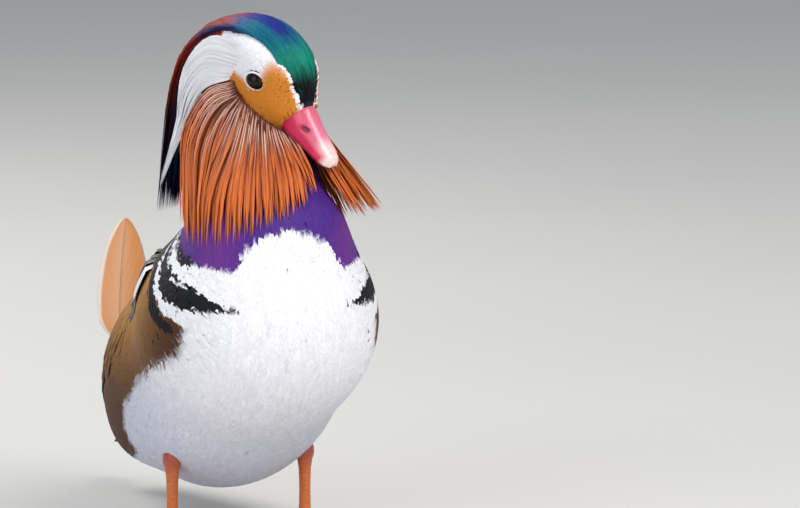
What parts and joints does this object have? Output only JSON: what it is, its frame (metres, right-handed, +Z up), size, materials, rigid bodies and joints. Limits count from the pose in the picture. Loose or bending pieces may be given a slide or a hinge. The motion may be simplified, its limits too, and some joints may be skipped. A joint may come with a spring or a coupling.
{
  "type": "mandarin duck model",
  "caption": "Life-size still model of a mandarin drake that stands on both feet with its head turned and bowed.",
  "frame": {"origin": "middle of the bounding box, at the floor under the soles", "axes": "+X to the bird's left, -Y to its front, +Z up"},
  "size_m": [0.119, 0.2546, 0.265],
  "materials": {
    "body_plumage": "soft small feathers, white below and brown on the flanks and back",
    "neck_plumage": "small feathers with a violet sheen",
    "face_plumage": "very short feathers, white above and ochre on the cheek",
    "ruff_plumes": "long narrow rust-orange plumes with pale shafts",
    "crest_plumes": "glossy plumes, teal and blue with a copper middle",
    "brow_plumes": "narrow white plumes",
    "shoulder_feathers": "smooth dark feathers",
    "wing_feathers": "smooth olive-brown feathers with pale edges",
    "sail_feather": "smooth orange feather with a cream outer edge",
    "tail_feathers": "smooth dark feathers",
    "tail_coverts": "smooth dark green feathers",
    "undertail_plumage": "soft white feathers",
    "bill": "smooth horn, satin",
    "bill_nail": "smooth pale horn, satin",
    "eye": "polished, very dark brown",
    "leg_skin": "scaled skin, matt",
    "foot_skin": "scaled skin, matt",
    "claw": "dark horn, matt"
  },
  "bodies": {
    "root": {"torso": "body_plumage", "neck": "neck_plumage", "head": "face_plumage", "eye_left": "eye", "eye_right": "eye", "bill_upper": "bill", "bill_lower": "bill", "bill_nail": "bill_nail", "ruff_left": "ruff_plumes", "ruff_right": "ruff_plumes", "crest": "crest_plumes", "brow_left": "brow_plumes", "brow_right": "brow_plumes", "tail": "tail_feathers", "tail_coverts": "tail_coverts", "undertail": "undertail_plumage", "scapulars_left": "shoulder_feathers", "wing_left": "wing_feathers", "sail_left": "sail_feather", "shank_left": "leg_skin", "foot_left": "foot_skin", "claw_left_inner": "claw", "claw_left_middle": "claw", "claw_left_outer": "claw", "claw_left_hind": "claw", "scapulars_right": "shoulder_feathers", "wing_right": "wing_feathers", "sail_right": "sail_feather", "shank_right": "leg_skin", "foot_right": "foot_skin", "claw_right_inner": "claw", "claw_right_middle": "claw", "claw_right_outer": "claw", "claw_right_hind": "claw"}
  },
  "joints": []
}
